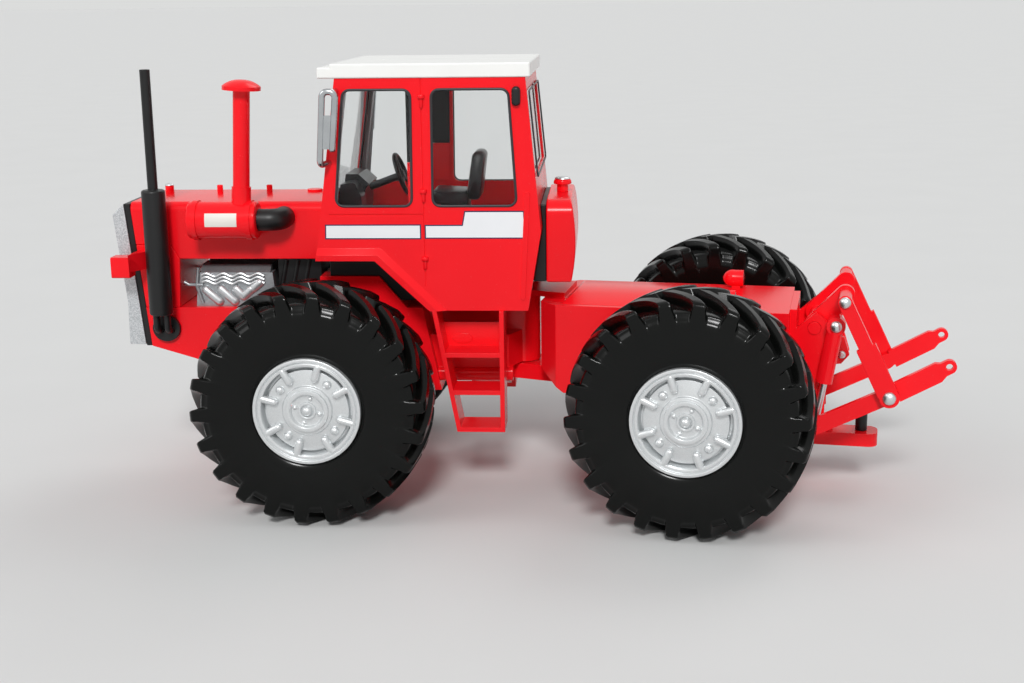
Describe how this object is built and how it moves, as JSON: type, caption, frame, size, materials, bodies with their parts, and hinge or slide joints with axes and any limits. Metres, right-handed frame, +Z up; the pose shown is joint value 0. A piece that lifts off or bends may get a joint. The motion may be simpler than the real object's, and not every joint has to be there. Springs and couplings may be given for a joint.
{
  "type": "die-cast scale model of an articulated farm tractor",
  "caption": "Scale model of a four-wheel-drive tractor that steers at a centre pivot, with a glazed cab, free wheels, a lifting rear linkage and a drawbar.",
  "frame": {"origin": "middle of the model's footprint at rest, on the ground", "axes": "-X to the front, -Y to the driver's left, +Z up"},
  "size_m": [0.2032, 0.1044, 0.103],
  "materials": {
    "red_paint": "gloss enamel",
    "silver_paint": "satin silver enamel",
    "white_plastic": "gloss moulded plastic",
    "black_plastic": "satin moulded plastic",
    "dark_trim": "matt moulded plastic",
    "clear_glazing": "clear moulded glazing",
    "tyre_rubber": "gloss black vinyl",
    "steel_pin": "bright steel",
    "red_lens": "red tinted plastic",
    "lamp_lens": "silvered lens"
  },
  "bodies": {
    "front_frame": {"front_chassis": "red_paint", "front_axle": "red_paint", "engine_block": "silver_paint", "transmission": "black_plastic", "nose_panels": "red_paint", "grille": "silver_paint", "grille_gasket": "black_plastic", "hood": "red_paint", "hood_fittings": "red_paint", "headlamps": "red_paint", "headlamp_lenses": "lamp_lens", "exhaust": "black_plastic", "air_cleaner": "red_paint", "intake_stack": "red_paint", "intake_elbow": "black_plastic", "fenders": "red_paint", "cab_base": "black_plastic", "cab_side_left": "red_paint", "cab_side_right": "red_paint", "cab_front": "red_paint", "cab_rear": "red_paint", "cab_roof": "white_plastic", "side_glass_left": "clear_glazing", "side_glass_right": "clear_glazing", "windscreen": "clear_glazing", "rear_glass": "clear_glazing", "cab_floor": "dark_trim", "dash": "dark_trim", "steering_wheel": "dark_trim", "seat": "dark_trim", "mirrors": "silver_paint", "cab_lamps": "red_lens", "fuel_tank": "red_paint", "tank_cap": "red_paint", "tank_gasket": "black_plastic", "steps_left": "red_paint", "steps_right": "red_paint"},
    "rear_frame": {"rear_chassis": "red_paint", "pivot_pin": "steel_pin", "deck_hatch": "red_paint", "rear_axle": "red_paint", "hitch_tower": "red_paint", "drawbar": "red_paint", "drawbar_pins": "black_plastic", "tail_lamps": "red_lens"},
    "wheel_front_left": {"tyre_front_left": "tyre_rubber", "rim_front_left": "silver_paint"},
    "wheel_front_right": {"tyre_front_right": "tyre_rubber", "rim_front_right": "silver_paint"},
    "wheel_rear_left": {"tyre_rear_left": "tyre_rubber", "rim_rear_left": "silver_paint"},
    "wheel_rear_right": {"tyre_rear_right": "tyre_rubber", "rim_rear_right": "silver_paint"},
    "lift_rocker": {"lift_rocker": "red_paint"},
    "lower_links": {"lower_links": "red_paint"},
    "lift_rods": {"lift_rods": "red_paint"},
    "cylinder_rods": {"cylinder_rods": "steel_pin"},
    "cylinder_tubes": {"cylinder_tubes": "red_paint"}
  },
  "joints": [
    {"name": "steer_pivot", "type": "hinge", "parent": "front_frame", "child": "rear_frame", "pos_m": [-0.00314, 0.00567, 0.046], "axis": [0, 0, 1], "range_deg": [-25.5, 44.5]},
    {"name": "wheel_front_left_spin", "type": "hinge", "parent": "front_frame", "child": "wheel_front_left", "pos_m": [-0.04914, -0.03083, 0.0276], "axis": [0, -1, 0], "continuous": true},
    {"name": "wheel_front_right_spin", "type": "hinge", "parent": "front_frame", "child": "wheel_front_right", "pos_m": [-0.04914, 0.04217, 0.0276], "axis": [0, -1, 0], "continuous": true},
    {"name": "wheel_rear_left_spin", "type": "hinge", "parent": "rear_frame", "child": "wheel_rear_left", "pos_m": [0.03621, -0.03792, 0.0276], "axis": [-0.165, -0.9863, 0], "continuous": true},
    {"name": "wheel_rear_right_spin", "type": "hinge", "parent": "rear_frame", "child": "wheel_rear_right", "pos_m": [0.04826, 0.03408, 0.0276], "axis": [-0.165, -0.9863, 0], "continuous": true},
    {"name": "hitch_lift", "type": "hinge", "parent": "rear_frame", "child": "lift_rocker", "pos_m": [0.06758, -0.00616, 0.0418], "axis": [-0.165, -0.9863, 0], "range_deg": [-50, 0]},
    {"name": "lower_link_swing", "type": "hinge", "parent": "rear_frame", "child": "lower_links", "pos_m": [0.06097, -0.00506, 0.0157], "axis": [-0.165, -0.9863, 0], "range_deg": [-19.5, 0.5]},
    {"name": "lift_rod_swing", "type": "hinge", "parent": "lift_rocker", "child": "lift_rods", "pos_m": [0.07419, -0.00727, 0.0496], "axis": [-0.165, -0.9863, 0], "range_deg": [-0.5, 47]},
    {"name": "ram_swing", "type": "hinge", "parent": "rear_frame", "child": "cylinder_rods", "pos_m": [0.06857, -0.00633, 0.0193], "axis": [-0.165, -0.9863, 0], "range_deg": [-1.25, 0.5]},
    {"name": "ram_slide", "type": "slide", "parent": "cylinder_rods", "child": "cylinder_tubes", "axis": [0.1595, -0.0267, 0.9868], "range_m": [-0.00438, 0.0001]}
  ],
  "couplings": [
    {"joint": "lower_link_swing", "follows": "hitch_lift", "ratio": 0.38},
    {"joint": "lift_rod_swing", "follows": "hitch_lift", "ratio": -0.93},
    {"joint": "ram_swing", "follows": "hitch_lift", "ratio": 0.015},
    {"joint": "ram_slide", "follows": "hitch_lift", "m_per_rad": 0.0049}
  ]
}
